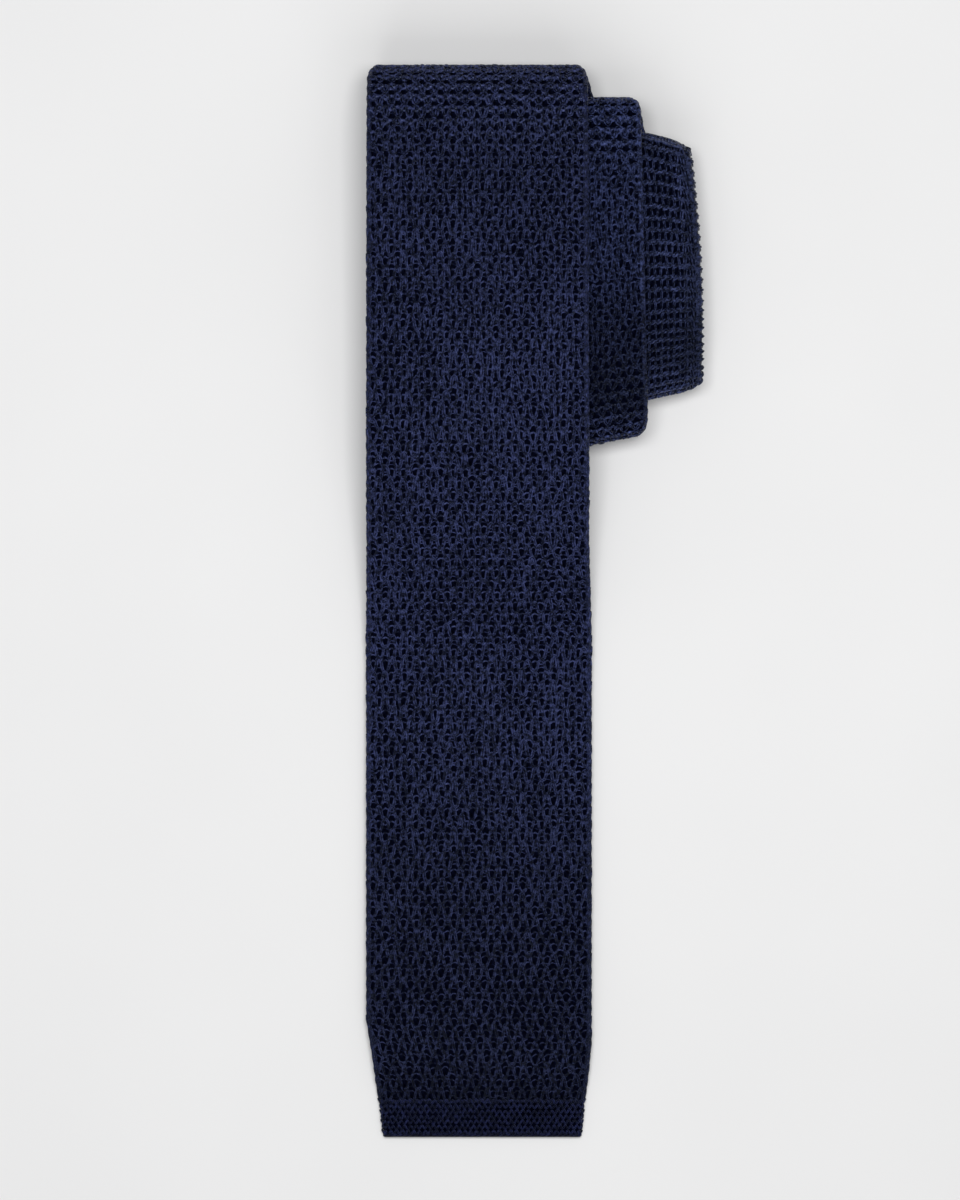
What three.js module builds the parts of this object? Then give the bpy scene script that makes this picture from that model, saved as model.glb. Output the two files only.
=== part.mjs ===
// A knit tie, folded in half and rolled up flat, lying with its blade on top.
// Millimetres. +X runs across the blade to the right, +Y from the blade's hem to the
// top fold, +Z up from the table. The origin is on the table, under the middle of the tie.
//
// The tie is one flattened knitted tube. Folded in half at the neck, it is a pair of
// strips, the blade half outside and the tail half inside. The pair is rolled from the
// neck into a flat coil of six layers, and each turn lies a little further to the left.
// A guide runs between the two strips of the pair, through all the layers.
import * as THREE from "three";

// Driving dimensions
const BLADE_WIDTH = 60;
const FRONT_LENGTH = 284;
const COIL_LENGTH = 103;
const RAMP_LENGTH = 68;
const PLY = 1;
const HOLLOW = 0.2;
const LAY_GAP = 0.3;
const JOIN_GAP = 0.3;
const HEM_LENGTH = 9.7;
const TAIL_HEM_LENGTH = 8;
const TAIL_SHORT = 20;
const CORNER = 2;
const LEFT_SAG = 3;
const RIGHT_SAG = 3;

// Sizes that follow from them
const STRIP = 2 * PLY + HOLLOW;
const PITCH = STRIP + LAY_GAP;
const PAIR_HALF = PITCH / 2 + STRIP / 2;
const TOP = FRONT_LENGTH;

// The strip near the blade's end. at: from the blade's end, share of FRONT_LENGTH.
// across: the strip's middle, blade, tail: widths of the two strips, shares of BLADE_WIDTH.
const FRONT = [
  { at: 0, across: 0.015, blade: 0.885, tail: 0.7 },
  { at: 0.034, across: 0.013, blade: 0.918, tail: 0.7 },
  { at: 0.062, across: 0.012, blade: 0.952, tail: 0.7 },
  { at: 0.09, across: 0.008, blade: 0.985, tail: 0.72 },
  { at: 0.11, across: 0, blade: 1, tail: 0.73 },
  { at: 0.47, across: 0, blade: 1, tail: 0.735 },
  { at: 0.56, across: -0.005, blade: 0.98, tail: 0.72 },
];

// The folds of the coil from the outside in, top and bottom in turn, and last the fold in
// half. reach: from the top fold, share of COIL_LENGTH. across, blade, tail: as above.
// rise: how much the fold line climbs to the right for each mm. droop: how far its right
// end hangs back, share of the strip's width. bow: how far the next layer's middle bulges
// to the right, share of BLADE_WIDTH. fullness: the fold's depth against its half height.
const FOLDS = [
  { reach: 0, across: -0.007, rise: 0, droop: 0, bow: 0.06, fullness: 1.25, blade: 0.967, tail: 0.7 },
  { reach: 1, across: 0.285, rise: 0.19, droop: 0, bow: 0, fullness: 1.25, blade: 0.917, tail: 0.68 },
  { reach: 0.0835, across: 0.275, rise: 0, droop: 0, bow: 0, fullness: 1.25, blade: 0.867, tail: 0.66 },
  { reach: 0.87, across: 0.65, rise: 0.22, droop: 0, bow: 0.02, fullness: 1.2, blade: 0.66, tail: 0.65 },
  { reach: 0.163, across: 0.61, rise: 0, droop: 0.13, bow: 0, fullness: 1, blade: 0.642, tail: 0.642 },
  { reach: 0.777, across: 0.55, rise: 0, droop: 0, bow: 0, fullness: 1, blade: 0.64, tail: 0.64 },
];
const LAYERS = FOLDS.length;
const NECK_LAYER = 3;
const RUN_STEPS = 4;
const RAMP_STEPS = 16;
const COIL_TOP_STEPS = 10;
const FOLD_STEPS = 10;
const HALF_FOLD_STEPS = 6;

// The finish of each piece
const FINISHES = {
  blade_hem: { color: "rgb(20, 23, 40)", roughness: 0.85 },
  blade: { color: "rgb(27, 31, 53)", roughness: 0.8 },
  neck: { color: "rgb(24, 27, 46)", roughness: 0.82 },
  tail: { color: "rgb(25, 29, 49)", roughness: 0.8 },
  tail_hem: { color: "rgb(20, 23, 40)", roughness: 0.85 },
};

const mix = (a, b, t) => a + (b - a) * t;
const clamp = THREE.MathUtils.clamp;

// A share that eases from 0 at low to 1 at high.
const ease = (value, low, high) => THREE.MathUtils.smoothstep(value, low, high);

// Height of the guide in a layer: the first lies on top, the second on the table, and so
// on inwards, and each layer is two strips thick.
function layerHeight(layer) {
  const place = layer % 2 === 0 ? LAYERS - 1 - layer / 2 : (layer - 1) / 2;
  return STRIP / 2 + PITCH * (2 * place + 0.5);
}

// One fold as a half ellipse between two layers: its middle, half axes and direction.
function foldShape(index) {
  const { reach, fullness } = FOLDS[index];
  const toTop = index % 2 === 0 ? 1 : -1;
  const high = Math.max(layerHeight(index), layerHeight(index + 1));
  const low = Math.min(layerHeight(index), layerHeight(index + 1));
  const half = (high - low) / 2;
  const depth = fullness * half;
  const tip = TOP - reach * COIL_LENGTH - toTop * PAIR_HALF;
  return { y: tip - toTop * depth, z: (high + low) / 2, depth, half, toTop };
}

// A station of the guide: its place, the unit vector to the pair's outer side, its layer,
// and how far it is into a fold, from 0 at the fold's ends to 1 at its tip.
function station(y, z, ny, nz, layer, turn, pieces) {
  const length = Math.hypot(ny, nz);
  return { y, z, ny: ny / length, nz: nz / length, layer, turn, ...pieces };
}

// Height of the guide under the blade, from its end on the table over the tail's end and
// up to the top of the coil, where the slanting bottom fold begins at its left end.
const THIRD = FOLDS[1];
const RAMP_END = foldShape(1).y - (THIRD.rise * THIRD.blade * BLADE_WIDTH) / 2;
const RAMP_START = RAMP_END - RAMP_LENGTH;
const LEVEL_START = FRONT[1].at * FRONT_LENGTH;

function frontHeight(y) {
  const onTable = layerHeight(1) - PITCH * (1 - ease(y, LEVEL_START, TAIL_SHORT));
  return onTable + (layerHeight(0) - layerHeight(1)) * ease(y, RAMP_START, RAMP_END);
}

// Stations along the front between two places.
function frontRun(from, to, steps, pieces) {
  const delta = 0.01;
  return Array.from({ length: steps + 1 }, (_, i) => {
    const y = mix(from, to, i / steps);
    const slope = (frontHeight(y + delta) - frontHeight(y - delta)) / (2 * delta);
    return station(y, frontHeight(y), -slope, 1, 0, 0, pieces);
  });
}

// Stations along one inner layer between two places.
function layerRun(layer, from, to, steps, pieces) {
  const outside = layer % 2 === 0 ? 1 : -1;
  return Array.from({ length: steps + 1 }, (_, i) =>
    station(mix(from, to, i / steps), layerHeight(layer), 0, outside, layer, 0, pieces));
}

// Stations round one fold, from its upper or lower layer to the other.
function foldRun(index, pieces) {
  const { y, z, depth, half, toTop } = foldShape(index);
  const layerOf = (i) => (i < FOLD_STEPS / 2 ? index : index + 1);
  return Array.from({ length: FOLD_STEPS + 1 }, (_, i) => {
    const angle = (Math.PI * i) / FOLD_STEPS;
    const up = Math.cos(angle) * toTop;
    const out = Math.sin(angle) * toTop;
    const turn = Math.sin(angle);
    return station(y + depth * out, z + half * up, out / depth, up / half, layerOf(i), turn, pieces);
  });
}

// Where the guide's last layer ends, at the fold in half.
const HALF_FOLD = TOP - FOLDS[LAYERS - 1].reach * COIL_LENGTH + PAIR_HALF;

// The whole guide, from the blade's end to the fold in half, with the pieces that lie on
// either side of it.
function makeGuide() {
  const net = { outer: "blade", inner: "tail" };
  const neck = { outer: "neck", inner: "neck" };
  const gap = JOIN_GAP / 2;
  const tailJoin = TAIL_SHORT + TAIL_HEM_LENGTH;
  const guide = [
    ...frontRun(0, HEM_LENGTH - gap, 2, { outer: "blade_hem" }),
    ...frontRun(HEM_LENGTH + gap, TAIL_SHORT, 4, { outer: "blade" }),
    ...frontRun(TAIL_SHORT, tailJoin - gap, 2, { outer: "blade", inner: "tail_hem" }),
    ...frontRun(tailJoin + gap, RAMP_START, RUN_STEPS, net),
    ...frontRun(RAMP_START, RAMP_END, RAMP_STEPS, net),
    ...frontRun(RAMP_END, foldShape(0).y, COIL_TOP_STEPS, net),
  ];
  for (let layer = 1; layer < LAYERS; layer += 1) {
    const start = foldShape(layer - 1).y;
    const end = layer < LAYERS - 1 ? foldShape(layer).y : HALF_FOLD;
    const before = layer > NECK_LAYER ? neck : net;
    guide.push(...foldRun(layer - 1, before));
    if (layer === NECK_LAYER) {
      const middle = (start + end) / 2;
      const toEnd = Math.sign(end - start) * gap;
      guide.push(...layerRun(layer, start, middle - toEnd, RUN_STEPS / 2, net));
      guide.push(...layerRun(layer, middle + toEnd, end, RUN_STEPS / 2, neck));
    } else {
      guide.push(...layerRun(layer, start, end, RUN_STEPS, before));
    }
  }
  return guide;
}

// The rows that a layer is read from, each with its place along the guide: the front's
// table up to the top fold, and between two fold tips on every layer further in.
function rowsOf(layer) {
  const tip = (index) => {
    const { y, depth, toTop } = foldShape(index);
    return { ...FOLDS[index], y: y + toTop * depth };
  };
  const flat = { rise: 0, droop: 0, bow: 0 };
  if (layer === 0) return [...FRONT.map((row) => ({ ...flat, ...row, y: row.at * FRONT_LENGTH })), tip(0)];
  const last = { ...FOLDS[layer], y: HALF_FOLD };
  return [tip(layer - 1), layer < LAYERS - 1 ? tip(layer) : last];
}

// Gives every station its middle, widths, rise and droop, in straight lines from row to row.
function dressGuide(guide) {
  for (const s of guide) {
    const rows = rowsOf(s.layer);
    const ends = rows.slice(1).map((high, i) => ({ low: rows[i], high }));
    const { low, high } = ends.find((pair) => s.y <= Math.max(pair.low.y, pair.high.y)) ?? ends.at(-1);
    const share = clamp((s.y - low.y) / (high.y - low.y), 0, 1);
    const read = (name) => mix(low[name], high[name], share);
    s.middle = BLADE_WIDTH * (read("across") + low.bow * Math.sin(Math.PI * share));
    s.rise = read("rise");
    s.droop = read("droop");
    s.outerWidth = BLADE_WIDTH * read("blade");
    s.innerWidth = BLADE_WIDTH * read("tail");
  }
  return guide;
}

// The tube's stations from the blade's end to the tail's: down the guide's outer side,
// round the fold in half, and back up its inner side.
function makeTube(guide) {
  const down = guide.map((s) => ({ ...s, piece: s.outer, width: s.outerWidth }));
  const back = guide.map((s) => ({ ...s, piece: s.inner, width: s.innerWidth, ny: -s.ny, nz: -s.nz }));
  const last = guide[guide.length - 1];
  const round = Array.from({ length: HALF_FOLD_STEPS - 1 }, (_, i) => {
    const angle = (Math.PI * (i + 1)) / HALF_FOLD_STEPS;
    const turned = {
      ny: last.ny * Math.cos(angle) - Math.sin(angle),
      nz: last.nz * Math.cos(angle),
      turn: Math.sin(angle),
    };
    return { ...last, ...turned, piece: last.outer, width: last.outerWidth };
  });
  return [...down, ...round, ...back.reverse()];
}

// Where the strips beside the coil's own stack have nothing under them, they hang down a
// little: the front to the left of the third layer, and the inner layers to the right of it.
const LEFT_HINGE = BLADE_WIDTH * (THIRD.across - THIRD.blade / 2) - LAY_GAP;
const RIGHT_HINGE = BLADE_WIDTH * (THIRD.across + THIRD.blade / 2) + LAY_GAP;
const LEFT_EDGE = -BLADE_WIDTH / 2;
const RIGHT_EDGE = BLADE_WIDTH * (FOLDS[3].across + FOLDS[3].blade / 2);

function sagAt(x, s) {
  const right = Math.max(0, (x - RIGHT_HINGE) / (RIGHT_EDGE - RIGHT_HINGE));
  if (s.layer > 0 || s.turn > 0) return RIGHT_SAG * right;
  const left = Math.max(0, (x - LEFT_HINGE) / (LEFT_EDGE - LEFT_HINGE));
  const along = clamp((s.y - RAMP_START) / (foldShape(0).y - RAMP_START), 0, 1);
  return LEFT_SAG * left * Math.sin(Math.PI * along) ** 2;
}

// Outline of the flattened tube at a station, anticlockwise from its right edge: round
// edges of the given radius, and on each flat face a point at both hinges.
function outline(s, radius, edgeSteps) {
  const flat = s.width / 2 - STRIP / 2 - CORNER * s.turn ** 16;
  const hinges = [RIGHT_HINGE, LEFT_HINGE].map((x, i) =>
    clamp(x - s.middle, (i === 0 ? -0.4 : -0.85) * flat, (i === 0 ? 0.85 : 0.3) * flat));
  const edge = (side) => Array.from({ length: edgeSteps + 1 }, (_, i) => {
    const angle = Math.PI * (i / edgeSteps - 0.5);
    return [side * (flat + radius * Math.cos(angle)), side * radius * Math.sin(angle)];
  });
  const upper = hinges.map((x) => [x, radius]);
  const lower = [...hinges].reverse().map((x) => [x, -radius]);
  return [...edge(1), ...upper, ...edge(-1), ...lower];
}

// Place in space of a point of the outline: off to the side and up from the strip's middle.
function place(s, [off, up]) {
  const side = off / (s.width / 2);
  const x = s.middle + off;
  const hangs = s.droop * s.width * ((1 + side) / 2) ** 4;
  const away = PITCH / 2 + up;
  const y = s.y + s.rise * off - hangs + s.ny * away;
  return [x, y, s.z + s.nz * away - sagAt(x, s)];
}

// Triangles of the ring between two outlines, anticlockwise.
function ringFaces(outer, inner) {
  const points = [...outer, ...inner].map(([x, y]) => new THREE.Vector2(x, y));
  const contour = points.slice(0, outer.length);
  const hole = points.slice(outer.length);
  const area = ([a, b, c]) =>
    new THREE.Vector2().subVectors(points[b], points[a]).cross(
      new THREE.Vector2().subVectors(points[c], points[a]));
  const faces = THREE.ShapeUtils.triangulateShape(contour, [hole]);
  return faces.map((face) => (area(face) > 0 ? face : [face[0], face[2], face[1]]));
}

// One knitted tube through its stations, hollow and open at both ends.
function knittedTube(stations) {
  const outlines = stations.map((s) => ({
    outer: outline(s, STRIP / 2, 4),
    inner: outline(s, HOLLOW / 2, 1),
  }));
  const outerCount = outlines[0].outer.length;
  const innerCount = outlines[0].inner.length;
  const ring = outerCount + innerCount;
  const vertices = outlines.flatMap(({ outer, inner }, i) =>
    [...outer, ...inner].flatMap((point) => place(stations[i], point)));
  const faces = [];
  const wall = (start, first, count, inwards) => {
    for (let j = 0; j < count; j += 1) {
      const a = start + first + j;
      const b = start + first + ((j + 1) % count);
      const [c, d] = [b + ring, a + ring];
      faces.push(...(inwards ? [a, c, d, a, b, c] : [a, d, c, a, c, b]));
    }
  };
  for (let i = 0; i < stations.length - 1; i += 1) {
    wall(i * ring, 0, outerCount, false);
    wall(i * ring, outerCount, innerCount, true);
  }
  const lastRing = (stations.length - 1) * ring;
  const first = outlines[0];
  const last = outlines[outlines.length - 1];
  ringFaces(first.outer, first.inner).forEach(([a, b, c]) => faces.push(a, b, c));
  ringFaces(last.outer, last.inner).forEach(([a, b, c]) =>
    faces.push(lastRing + a, lastRing + c, lastRing + b));
  const geometry = new THREE.BufferGeometry();
  geometry.setAttribute("position", new THREE.Float32BufferAttribute(vertices, 3));
  geometry.setIndex(faces);
  geometry.computeVertexNormals();
  return geometry;
}

// The stations of one piece, without those that repeat the one before.
function stationsOf(tube, piece) {
  const own = tube.filter((s) => s.piece === piece);
  const near = (a, b) => Math.hypot(a.y - b.y, a.z - b.z, a.ny - b.ny, a.nz - b.nz) < 1e-6;
  return own.filter((s, i) => i === 0 || !near(s, own[i - 1]));
}

const tie = new THREE.Group();
const tube = makeTube(dressGuide(makeGuide()));
for (const [name, finish] of Object.entries(FINISHES)) {
  const material = new THREE.MeshStandardMaterial({ ...finish, metalness: 0 });
  const mesh = new THREE.Mesh(knittedTube(stationsOf(tube, name)), material);
  mesh.name = name;
  tie.add(mesh);
}

// The tie stands with the middle of its footprint on the origin.
const box = new THREE.Box3().setFromObject(tie);
tie.position.set(-(box.min.x + box.max.x) / 2, -(box.min.y + box.max.y) / 2, -box.min.z);

export default tie;
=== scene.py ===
"""A navy knit tie, folded in half and rolled up flat, dressed with its real stitches.

The tie is one flattened knitted tube. Each part of it gets a thin shell, which is the
fabric's own body, in most parts painted dark as shade where the lower plies show between the
stitches, and the courses of yarn that are knitted over it. The strip is followed by its arc
length, from the blade's end round the fold in half to the tail's end, and crossed by a way
round its section, which is 0 in the middle of the strip's outer face.
Shapes are worked out in millimetres and put into the meshes in metres.
"""

import bpy
import numpy as np
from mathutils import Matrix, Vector


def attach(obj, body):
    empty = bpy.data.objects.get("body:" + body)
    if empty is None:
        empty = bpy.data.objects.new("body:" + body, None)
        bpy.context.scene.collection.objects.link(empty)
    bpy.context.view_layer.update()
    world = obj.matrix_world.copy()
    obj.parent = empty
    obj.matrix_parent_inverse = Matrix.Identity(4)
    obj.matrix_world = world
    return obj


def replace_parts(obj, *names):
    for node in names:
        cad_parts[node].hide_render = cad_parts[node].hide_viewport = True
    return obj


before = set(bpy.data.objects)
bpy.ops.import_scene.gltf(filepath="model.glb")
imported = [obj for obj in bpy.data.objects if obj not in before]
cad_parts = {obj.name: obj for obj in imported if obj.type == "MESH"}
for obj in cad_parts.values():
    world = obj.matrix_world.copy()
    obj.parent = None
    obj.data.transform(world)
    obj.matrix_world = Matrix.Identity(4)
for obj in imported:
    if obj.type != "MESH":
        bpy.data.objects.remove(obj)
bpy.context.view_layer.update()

MM = 0.001
PI = np.pi
ROUND = 2 * np.pi

# Sizes that the CAD model has too, in millimetres
BLADE_WIDTH = 60
FRONT_LENGTH = 284
COIL_LENGTH = 103
RAMP_LENGTH = 68
PLY = 1
HOLLOW = 0.2
LAY_GAP = 0.3
JOIN_GAP = 0.3
HEM_LENGTH = 9.7
TAIL_HEM_LENGTH = 8
TAIL_SHORT = 20
CORNER = 2
CORNER_POWER = 16
LEFT_SAG = 3
RIGHT_SAG = 3
DROOP_POWER = 4
STRIP = 2 * PLY + HOLLOW
PITCH = STRIP + LAY_GAP
PAIR_HALF = PITCH / 2 + STRIP / 2
EDGE = STRIP / 2
HALF_GAP = JOIN_GAP / 2
NECK_LAYER = 3

# The strip near the blade's end: place, middle and the two widths, as shares
FRONT = np.array([
    (0.000, 0.015, 0.885, 0.700),
    (0.034, 0.013, 0.918, 0.700),
    (0.062, 0.012, 0.952, 0.700),
    (0.090, 0.008, 0.985, 0.720),
    (0.110, 0.000, 1.000, 0.730),
    (0.470, 0.000, 1.000, 0.735),
    (0.560, -0.005, 0.980, 0.720),
])

# The folds of the coil from the outside in, and last the fold in half
FOLD_COLUMNS = ("reach", "across", "rise", "droop", "bow", "fullness", "blade", "tail")
FOLD_ROWS = (
    (0, -0.007, 0, 0, 0.06, 1.25, 0.967, 0.7),
    (1, 0.285, 0.19, 0, 0, 1.25, 0.917, 0.68),
    (0.0835, 0.275, 0, 0, 0, 1.25, 0.867, 0.66),
    (0.87, 0.65, 0.22, 0, 0.02, 1.2, 0.66, 0.65),
    (0.163, 0.61, 0, 0.13, 0, 1, 0.642, 0.642),
    (0.777, 0.55, 0, 0, 0, 1, 0.64, 0.64),
)
FOLDS = [dict(zip(FOLD_COLUMNS, row)) for row in FOLD_ROWS]
LAYERS = len(FOLDS)

# Stations along a run of the guide
FRONT_STATIONS = 600
FOLD_STATIONS = 73
LAYER_STATIONS = 49
HALF_FOLD_STATIONS = 25

# The stitches: heights of a course, and stitches round the whole tube
NET_ROW = 3.27
NET_ROUND = 37
RIB_ROW = 3.27
RIB_ROUND = 25
HEM_ROW = 1.33
HEM_ROUND = 72


def ease(value, low, high):
    """A share that is 0 at low and 1 at high, and 3 t squared less 2 t cubed between."""
    t = np.clip((value - low) / (high - low), 0, 1)
    return t * t * (3 - 2 * t)


def unit(vectors):
    """The vectors, each divided by its own length."""
    return vectors / np.maximum(np.linalg.norm(vectors, axis=-1, keepdims=True), 1e-9)


# The guide between the two strips of the pair, as in the CAD model


def layer_height(layer):
    """Height of the guide in a layer: the first on top, the second on the table."""
    place = (layer - 1) / 2 if layer % 2 else LAYERS - 1 - layer / 2
    return STRIP / 2 + PITCH * (2 * place + 0.5)


def fold_shape(index):
    """Middle, half axes and direction of one fold, which is a half ellipse."""
    to_top = -1 if index % 2 else 1
    ends = layer_height(index), layer_height(index + 1)
    half = (max(ends) - min(ends)) / 2
    depth = FOLDS[index]["fullness"] * half
    tip = FRONT_LENGTH - FOLDS[index]["reach"] * COIL_LENGTH - to_top * PAIR_HALF
    return dict(y=tip - to_top * depth, tip=tip, z=sum(ends) / 2,
                depth=depth, half=half, to_top=to_top)


THIRD = FOLDS[1]
RAMP_END = fold_shape(1)["y"] - THIRD["rise"] * THIRD["blade"] * BLADE_WIDTH / 2
RAMP_START = RAMP_END - RAMP_LENGTH
LEVEL_START = FRONT[1, 0] * FRONT_LENGTH
TOP_FOLD = fold_shape(0)["y"]
HALF_FOLD = FRONT_LENGTH - FOLDS[-1]["reach"] * COIL_LENGTH + PAIR_HALF


def front_height(y):
    """Height of the guide under the blade: on the table, over the tail's end, up the ramp."""
    on_table = layer_height(1) - PITCH * (1 - ease(y, LEVEL_START, TAIL_SHORT))
    return on_table + (layer_height(0) - layer_height(1)) * ease(y, RAMP_START, RAMP_END)


def run(y, z, ny, nz, layer, turn):
    """A stretch of the guide as named columns, with the normals made one long."""
    length = np.hypot(ny, nz)
    columns = dict(y=y, z=z, ny=ny / length, nz=nz / length, layer=layer, turn=turn)
    return {name: np.broadcast_to(column, y.shape).astype(float)
            for name, column in columns.items()}


def front_run():
    """The guide under the front: height by y, and the normal square to its slope."""
    y = np.linspace(0, TOP_FOLD, FRONT_STATIONS)
    near = 0.01
    slope = (front_height(y + near) - front_height(y - near)) / (2 * near)
    return run(y, front_height(y), -slope, np.ones_like(y), 0, 0)


def fold_run(index):
    """Half an ellipse from one layer to the next: y by the sine, z by the cosine."""
    fold = fold_shape(index)
    angle = np.linspace(0, PI, FOLD_STATIONS)
    up = np.cos(angle) * fold["to_top"]
    out = np.sin(angle) * fold["to_top"]
    layer = index + (angle >= PI / 2 - 1e-9)
    return run(fold["y"] + fold["depth"] * out, fold["z"] + fold["half"] * up,
               out / fold["depth"], up / fold["half"], layer, np.sin(angle))


def layer_run(layer):
    """A level run between two folds."""
    end = fold_shape(layer)["y"] if layer < LAYERS - 1 else HALF_FOLD
    y = np.linspace(fold_shape(layer - 1)["y"], end, LAYER_STATIONS)
    outside = -1 if layer % 2 else 1
    return run(y, np.full_like(y, layer_height(layer)), 0 * y, outside + 0 * y, layer, 0)


def dress(guide):
    """Adds each station's middle, widths, rise and droop: straight from row to row by y."""
    names = ("middle", "rise", "droop", "outer", "inner")
    added = {name: np.zeros_like(guide["y"]) for name in names}
    for layer in range(LAYERS):
        here = guide["layer"] == layer
        y = guide["y"][here]
        if layer == 0:
            tip = FOLDS[0]
            last = (fold_shape(0)["tip"], tip["across"], tip["blade"], tip["tail"])
            rows = np.vstack([FRONT * (FRONT_LENGTH, 1, 1, 1), last])
            across, blade, tail = (np.interp(y, rows[:, 0], rows[:, k]) for k in (1, 2, 3))
            rise = droop = bow = 0 * y
        else:
            low, high = FOLDS[layer - 1], FOLDS[layer]
            to = fold_shape(layer)["tip"] if layer < LAYERS - 1 else HALF_FOLD
            at = fold_shape(layer - 1)["tip"]
            share = np.clip((y - at) / (to - at), 0, 1)
            across, blade, tail, rise, droop = (
                low[name] + (high[name] - low[name]) * share
                for name in ("across", "blade", "tail", "rise", "droop"))
            bow = low["bow"] * np.sin(PI * share)
        middle = BLADE_WIDTH * (across + bow)
        values = (middle, rise, droop, BLADE_WIDTH * blade, BLADE_WIDTH * tail)
        for name, value in zip(names, values):
            added[name][here] = value
    return {**guide, **added}


def joined(parts):
    """Runs put end to end, column by column."""
    return {name: np.concatenate([part[name] for part in parts]) for name in parts[0]}


def with_arc(strip):
    """Adds the arc length along the middle of the strip's own thickness."""
    y = strip["y"] + strip["ny"] * PITCH / 2
    z = strip["z"] + strip["nz"] * PITCH / 2
    steps = np.hypot(np.diff(y), np.diff(z))
    return {**strip, "arc": np.concatenate([[0], np.cumsum(steps)])}


def make_tube():
    """The whole tube by arc length: out along the blade half, round the fold in half and
    back along the tail half. Also gives where each run of the guide starts."""
    runs = [front_run()]
    for layer in range(1, LAYERS):
        runs += [fold_run(layer - 1), layer_run(layer)]
    marks = np.concatenate([[0], np.cumsum([len(part["y"]) for part in runs])])
    guide = dress(joined(runs))
    angle = np.linspace(0, PI, HALF_FOLD_STATIONS)[1:-1]
    last = {name: np.full(angle.shape, column[-1]) for name, column in guide.items()}
    out = {**guide, "width": guide["outer"]}
    bend = {**last, "ny": last["ny"] * np.cos(angle) - np.sin(angle),
            "nz": last["nz"] * np.cos(angle), "turn": np.sin(angle), "width": last["outer"]}
    back = {name: column[::-1] for name, column in guide.items()}
    back = {**back, "ny": -back["ny"], "nz": -back["nz"], "width": back["inner"]}
    return with_arc(joined([out, bend, back])), marks


TUBE, MARKS = make_tube()
STATIONS = len(TUBE["arc"])
RIGHT_END = np.max(TUBE["middle"] + TUBE["width"] / 2)
LEFT_END = np.min(TUBE["middle"] - TUBE["width"] / 2)
CENTRE = np.array([(LEFT_END + RIGHT_END) / 2, FRONT_LENGTH / 2, 0])


def arc_at(y, back=False):
    """Arc length where the front is at y, on the blade half or, going back, the tail half."""
    guide_y, arc = TUBE["y"][: MARKS[1]], TUBE["arc"]
    own = arc[::-1][: MARKS[1]] if back else arc[: MARKS[1]]
    return float(np.interp(y, guide_y, own))


def arc_of(mark, back=False):
    """Arc length where a run of the guide starts: the front, fold, layer, fold and so on."""
    station = STATIONS - 1 - MARKS[mark] if back else MARKS[mark]
    return float(TUBE["arc"][station])


def neck_join(back=False):
    """Arc length in the middle of the run where the net changes to the neck's rib."""
    return (arc_of(2 * NECK_LAYER, back) + arc_of(2 * NECK_LAYER + 1, back)) / 2


# The neck's part that shows: from its bottom fold to its top fold, which lies rolled
NECK_FOLD = arc_of(2 * NECK_LAYER + 1)
NECK_FLAT = arc_of(2 * NECK_LAYER + 2)
NECK_SHOWN = arc_of(2 * NECK_LAYER + 4)
NECK_ROLL = (arc_of(2 * NECK_LAYER + 3) + NECK_SHOWN) / 2

# Points over the tube

LEFT_HINGE = BLADE_WIDTH * (THIRD["across"] - THIRD["blade"] / 2) - LAY_GAP
RIGHT_HINGE = BLADE_WIDTH * (THIRD["across"] + THIRD["blade"] / 2) + LAY_GAP
LEFT_EDGE = -BLADE_WIDTH / 2
RIGHT_EDGE = BLADE_WIDTH * (FOLDS[3]["across"] + FOLDS[3]["blade"] / 2)


def stations(arc):
    """The tube's columns at these arc lengths, in straight lines between its stations."""
    return {name: np.interp(arc, TUBE["arc"], TUBE[name]) for name in TUBE}


def half_flat(s):
    """Half of the flat part of the section, less the rounded corners at a fold's tip."""
    return s["width"] / 2 - EDGE - CORNER * s["turn"] ** CORNER_POWER


def sag_at(x, s):
    """How far a point hangs where nothing lies under it, as in the CAD model."""
    right = np.maximum(0, (x - RIGHT_HINGE) / (RIGHT_EDGE - RIGHT_HINGE))
    left = np.maximum(0, (x - LEFT_HINGE) / (LEFT_EDGE - LEFT_HINGE))
    along = np.clip((s["y"] - RAMP_START) / (TOP_FOLD - RAMP_START), 0, 1)
    on_front = (s["layer"] <= 1e-6) & (s["turn"] <= 1e-6)
    return np.where(on_front, LEFT_SAG * left * np.sin(PI * along) ** 2, RIGHT_SAG * right)


def over(arc, way, lift):
    """Points at an arc length, a way round the section and a lift over its surface.

    Up to the flat's end the point lies straight over the face. Past it, it goes round the
    edge by the angle of the way over the edge's radius, and after half a turn back under.
    """
    s = stations(arc)
    flat = half_flat(s)
    past = np.abs(way) - flat
    angle = np.clip(past / EDGE, 0, PI)
    back = np.clip(past - PI * EDGE, 0, None)
    radius = EDGE + lift
    off = np.sign(way) * (np.minimum(np.abs(way), flat) + radius * np.sin(angle) - back)
    up = radius * np.cos(angle)
    hangs = s["droop"] * s["width"] * (0.5 + off / s["width"]) ** DROOP_POWER
    away = PITCH / 2 + up
    x = s["middle"] + off
    y = s["y"] + s["rise"] * off - hangs + s["ny"] * away
    z = s["z"] + s["nz"] * away - sag_at(x, s)
    return np.stack([x, y, z], axis=-1)


def round_length(s):
    """The way round the section: four half flats and a whole circle of the edge's radius."""
    return 4 * (s["width"] / 2 - EDGE) + ROUND * EDGE


# Meshes

# Yarn under the tie is pressed flat this high over the table
PRESSED = 0.01


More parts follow.
